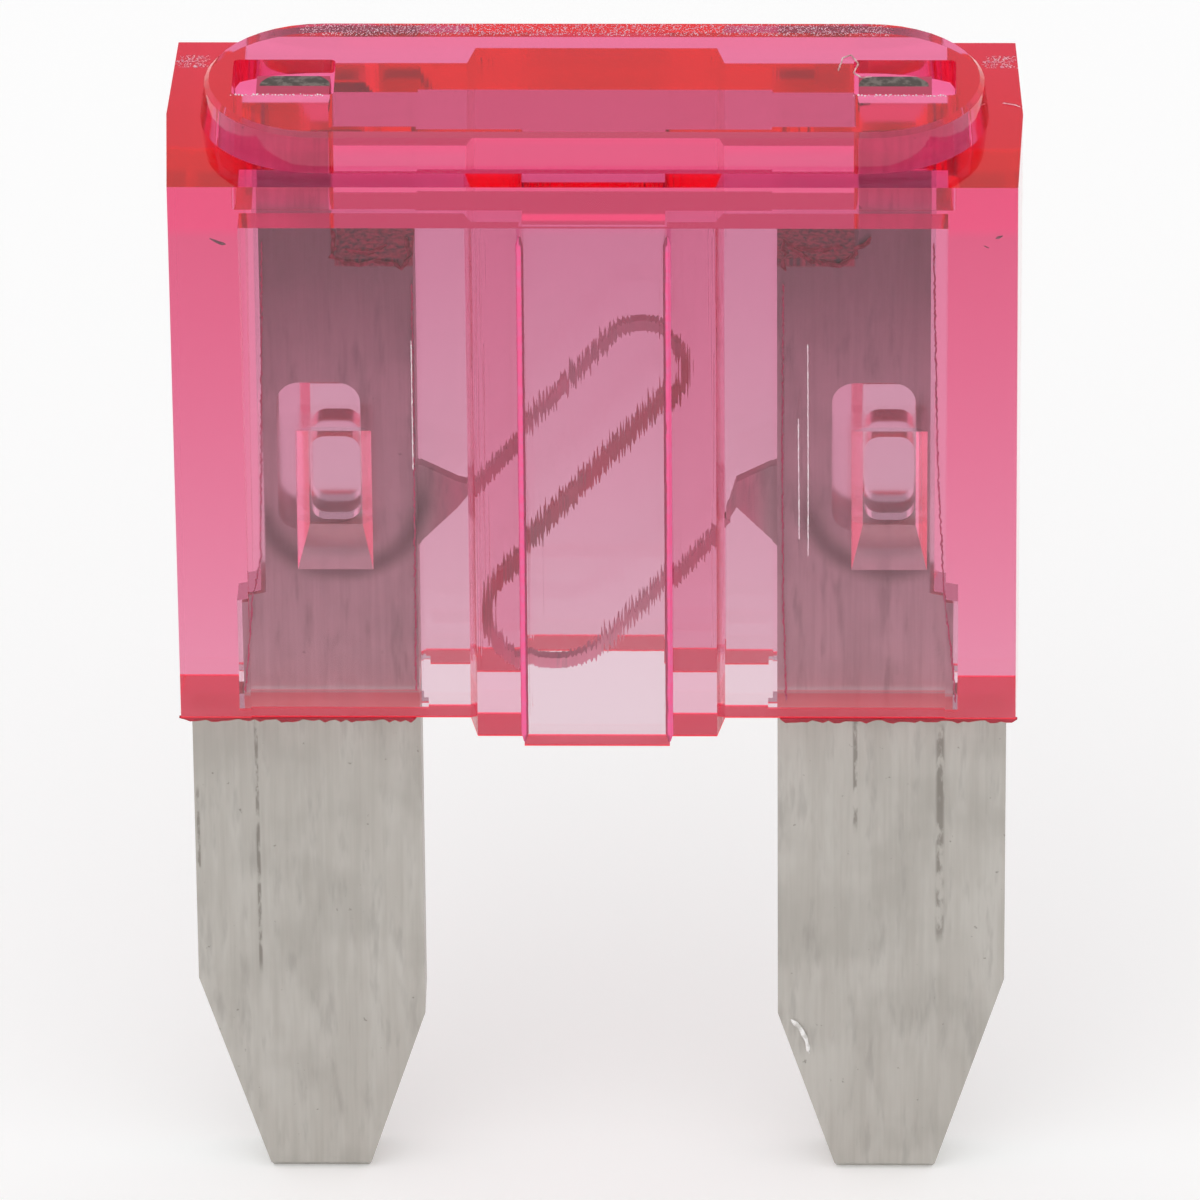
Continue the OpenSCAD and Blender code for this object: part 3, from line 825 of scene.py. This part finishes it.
def grain_tree():
    """A node tree: grains scattered about a straight line."""
    tree = bpy.data.node_groups.new("grain_line", "GeometryNodeTree")
    tree.interface.new_socket(name="Geometry", in_out="INPUT", socket_type="NodeSocketGeometry")
    for name, kind in (("Grains", "NodeSocketInt"), ("Start", VECTOR), ("End", VECTOR), ("Spread", VECTOR),
                       ("Grain", FLOAT), ("Finish", "NodeSocketMaterial")):
        tree.interface.new_socket(name=name, in_out="INPUT", socket_type=kind)
    tree.interface.new_socket(name="Geometry", in_out="OUTPUT", socket_type="NodeSocketGeometry")
    given = node(tree, "NodeGroupInput").outputs
    line = node(tree, "GeometryNodeMeshLine", mode="END_POINTS")
    feed(tree, line.inputs["Count"], given["Grains"])
    feed(tree, line.inputs["Start Location"], given["Start"])
    feed(tree, line.inputs["Offset"], given["End"])
    offset = node(tree, "ShaderNodeVectorMath", operation="MULTIPLY")
    feed(tree, offset.inputs[0], random_value(tree, "FLOAT_VECTOR", (-1, -1, -1), (1, 1, 1), SCATTER_SEED))
    feed(tree, offset.inputs[1], given["Spread"])
    moved = node(tree, "GeometryNodeSetPosition")
    feed(tree, moved.inputs["Geometry"], line.outputs["Mesh"])
    feed(tree, moved.inputs["Offset"], offset.outputs["Vector"])
    grain = node(tree, "GeometryNodeMeshIcoSphere")
    feed(tree, grain.inputs["Radius"], given["Grain"])
    grains = node(tree, "GeometryNodeInstanceOnPoints")
    feed(tree, grains.inputs["Points"], moved.outputs["Geometry"])
    feed(tree, grains.inputs["Instance"], grain.outputs["Mesh"])
    feed(tree, grains.inputs["Scale"], random_value(tree, "FLOAT", *GRAIN_SIZES, SIZE_SEED))
    real = node(tree, "GeometryNodeRealizeInstances")
    feed(tree, real.inputs["Geometry"], grains.outputs["Instances"])
    coat = node(tree, "GeometryNodeSetMaterial")
    feed(tree, coat.inputs["Geometry"], real.outputs["Geometry"])
    feed(tree, coat.inputs["Material"], given["Finish"])
    out = node(tree, "NodeGroupOutput")
    feed(tree, out.inputs["Geometry"], coat.outputs["Geometry"])
    return tree


def grain_mesh(name, tree, values):
    """Runs the grain tree once and keeps its result as a plain mesh."""
    seat = bpy.data.objects.new(name + "_seat", bpy.data.meshes.new(name + "_seat"))
    bpy.context.scene.collection.objects.link(seat)
    modifier = seat.modifiers.new("dust", "NODES")
    modifier.node_group = tree
    for item in tree.interface.items_tree:
        if item.in_out == "INPUT" and item.name in values:
            modifier[item.identifier] = values[item.name]
    seat.update_tag()
    bpy.context.view_layer.update()
    evaluated = seat.evaluated_get(bpy.context.evaluated_depsgraph_get())
    mesh = bpy.data.meshes.new_from_object(evaluated)
    mesh.name = name
    seat.modifiers.remove(modifier)
    bpy.data.objects.remove(seat)
    return mesh


def grain_line(name, tree, grains, start_x, end_x, y, z, scatter, grain, finish):
    """One line of grains on the plastic, for dust and for painted highlights; the places across and the scatter
    are in mm.
    """
    mesh = grain_mesh(name, tree, {
        "Grains": grains, "Start": (start_x * MM, y, z), "End": (end_x * MM, y, z),
        "Spread": (scatter[0] * MM, scatter[1] * MM, 0.0), "Grain": grain, "Finish": finish})
    finished(name, mesh, finish)


def floor_piece(colour, lift):
    """The plain floor under the blades' tips."""
    mesh = bpy.data.meshes.new("floor")
    corners = [(x * FLOOR_HALF, y * FLOOR_HALF, TIP_Z) for x, y in ((-1, -1), (1, -1), (1, 1), (-1, 1))]
    mesh.from_pydata(corners, [], [(0, 1, 2, 3)])
    floor = bpy.data.objects.new("floor", mesh)
    bpy.context.scene.collection.objects.link(floor)
    material, tree, shader = principled("pale_floor")
    shader.inputs["Base Color"].default_value = (*colour, 1)
    shader.inputs["Roughness"].default_value = FLOOR_ROUGHNESS
    # the eye, and what shines or is clear, see the floor as white
    path = node(tree, "ShaderNodeLightPath").outputs
    seen = math_node(tree, "MAXIMUM", path["Is Camera Ray"], path["Is Glossy Ray"])
    seen = math_node(tree, "MAXIMUM", seen, path["Is Transmission Ray"])
    feed(tree, shader.inputs["Emission Color"], blend(tree, seen, (0, 0, 0), (lift, lift, lift)))
    shader.inputs["Emission Strength"].default_value = 1.0
    material.cycles.emission_sampling = "NONE"
    mesh.materials.append(material)


def studio_world(strength, back):
    """White surroundings, softly dimmer high up at the back, and plain white to the eye."""
    world = bpy.data.worlds.new("studio")
    bpy.context.scene.world = world
    world.use_nodes = True
    tree = world.node_tree
    background = tree.nodes["Background"]
    high_back = node(tree, "ShaderNodeVectorMath", operation="DOT_PRODUCT")
    feed(tree, high_back.inputs[0], node(tree, "ShaderNodeTexCoord").outputs["Generated"])
    high_back.inputs[1].default_value = HIGH_BACK_DIRECTION
    dim = spread(tree, high_back.outputs["Value"], *HIGH_BACK_RANGE)
    seen = node(tree, "ShaderNodeLightPath").outputs["Is Camera Ray"]
    dim = product(tree, dim, math_node(tree, "SUBTRACT", 1.0, seen))
    feed(tree, background.inputs["Color"], blend(tree, dim, (1, 1, 1), (back, back, back)))
    background.inputs["Strength"].default_value = strength
    world.cycles.sampling_method = "NONE"


def key_light():
    """A soft square lamp, up on the left at the front."""
    data = bpy.data.lights.new("key", "AREA")
    data.shape = "RECTANGLE"
    data.size = data.size_y = LAMP_SIZE
    data.energy = LAMP_POWER
    lamp = bpy.data.objects.new("key", data)
    bpy.context.scene.collection.objects.link(lamp)
    lamp.location = LAMP_PLACE
    lamp.rotation_mode = "QUATERNION"
    lamp.rotation_quaternion = Vector(LAMP_PLACE).to_track_quat("Z", "Y")


def studio_camera(settings):
    """The camera at the photo's viewing angle."""
    level = math.cos(settings.elevation)
    back = Vector((
        math.sin(settings.azimuth) * level, -math.cos(settings.azimuth) * level, math.sin(settings.elevation)))
    data = bpy.data.cameras.new("camera")
    data.sensor_width = SENSOR
    data.lens = data.sensor_width * settings.distance / settings.field
    data.clip_start, data.clip_end = CLIP
    camera = bpy.data.objects.new("camera", data)
    bpy.context.scene.collection.objects.link(camera)
    turn = (-back).to_track_quat("-Z", "Y").to_matrix() @ Matrix.Rotation(-settings.roll, 3, "Z")
    camera.matrix_world = Matrix.Translation(Vector(LOOK_AT) + back * settings.distance) @ turn.to_4x4()
    bpy.context.scene.camera = camera


class FUSE_OT_housing(bpy.types.Operator):
    """Dress the clear pink housing"""

    bl_idname = "fuse.housing"
    bl_label = "Housing"

    def execute(self, context):
        dress("housing", plastic_material(context.scene.fuse_plastic, effects()))
        return {"FINISHED"}


class FUSE_OT_element(bpy.types.Operator):
    """Dress the zinc blades and link"""

    bl_idname = "fuse.element"
    bl_label = "Blades and link"

    def execute(self, context):
        dress("fuse_element", zinc_material(context.scene.fuse_metal, effects()))
        return {"FINISHED"}


class FUSE_OT_wear(bpy.types.Operator):
    """Make the dust, the fibre, the torn bits, the flash, the painted highlights and the painted red edge lines"""

    bl_idname = "fuse.wear"
    bl_label = "Dust, flash and torn bits"

    def execute(self, context):
        wear = context.scene.fuse_wear
        groups = effects()
        finishes = {name: small_finish(name, groups) for name in FINISHES}
        tree = grain_tree()
        middle, reach, back, scatter, share = BUTTON_DUST
        grain_line("button_dust", tree, wear.dust, middle - reach, middle + reach, back * MM, TOP_Z, scatter,
                  wear.grain * share, finishes["button_bloom"])
        start, end = SLOT_DUST_X
        for side, middle in SLOTS_X.items():
            grain_line(side + "_slot_dust", tree, SLOT_GRAINS, middle + start, middle + end, SLOT_FRONT_Y, TOP_Z,
                      SLOT_DUST_SPREAD, wear.grain, finishes["pale_dust"])
        # painted highlight: pale grains on the ears' backs
        reach, back, scatter, share = EAR_HIGHLIGHT
        for side, middle in EARS_X.items():
            grain_line(side + "_ear_highlight_grains", tree, EAR_GRAINS, middle - reach, middle + reach, back * MM, EAR_Z,
                      scatter, wear.grain * share, finishes["ear_painted_highlight"])
        for name, runs, radius, wobble, seed, sides, uneven, finish, slot in THREADS:
            mesh = thread_mesh(name, runs, radius, wobble, seed, sides, uneven)
            finished(name, mesh, finishes[finish])
        plastic = bpy.data.materials["clear_pink_plastic"]
        rng = random.Random(FLASH_SEED)
        for side, (low, high) in FLASH_X.items():
            name = side + "_flash"
            finished(name, flash_mesh(name, low, high, wear.flash, rng), plastic)
        return {"FINISHED"}


class FUSE_OT_studio(bpy.types.Operator):
    """Make the floor, the light and the camera"""

    bl_idname = "fuse.studio"
    bl_label = "Studio"

    def execute(self, context):
        settings = context.scene.fuse_studio
        floor_piece(settings.floor, settings.lift)
        studio_world(settings.surroundings, settings.high_back)
        key_light()
        studio_camera(settings)
        cycles = context.scene.cycles
        # light crosses the clear walls many times before it leaves
        cycles.max_bounces = 64
        cycles.transmission_bounces = 64
        cycles.glossy_bounces = 32
        cycles.transparent_max_bounces = 48
        cycles.use_light_tree = False
        context.scene.view_settings.view_transform = "Standard"
        return {"FINISHED"}


class FUSE_PT_panel(bpy.types.Panel):
    """Lists the fuse's settings and steps"""

    bl_label = "Blade fuse"
    bl_idname = "FUSE_PT_panel"
    bl_space_type = "VIEW_3D"
    bl_region_type = "UI"
    bl_category = "Fuse"

    def draw(self, context):
        layout = self.layout
        for name in GROUPS:
            settings = getattr(context.scene, name)
            for key in settings.bl_rna.properties.keys():
                if key not in ("rna_type", "name"):
                    layout.prop(settings, key)
        for operator in OPERATORS:
            layout.operator(operator.bl_idname)


GROUPS = {
    "fuse_plastic": FusePlastic,
    "fuse_metal": FuseMetal,
    "fuse_wear": FuseWear,
    "fuse_studio": FuseStudio,
}
OPERATORS = (FUSE_OT_housing, FUSE_OT_element, FUSE_OT_wear, FUSE_OT_studio)


def register():
    for group in GROUPS.values():
        bpy.utils.register_class(group)
    for name, group in GROUPS.items():
        setattr(bpy.types.Scene, name, bpy.props.PointerProperty(type=group))
    for cls in (*OPERATORS, FUSE_PT_panel):
        bpy.utils.register_class(cls)


def unregister():
    for cls in (FUSE_PT_panel, *OPERATORS):
        bpy.utils.unregister_class(cls)
    for name in GROUPS:
        delattr(bpy.types.Scene, name)
    for group in GROUPS.values():
        bpy.utils.unregister_class(group)


def main():
    register()
    bpy.ops.fuse.housing()
    bpy.ops.fuse.element()
    bpy.ops.fuse.wear()
    bpy.ops.fuse.studio()


if __name__ == "__main__":
    main()
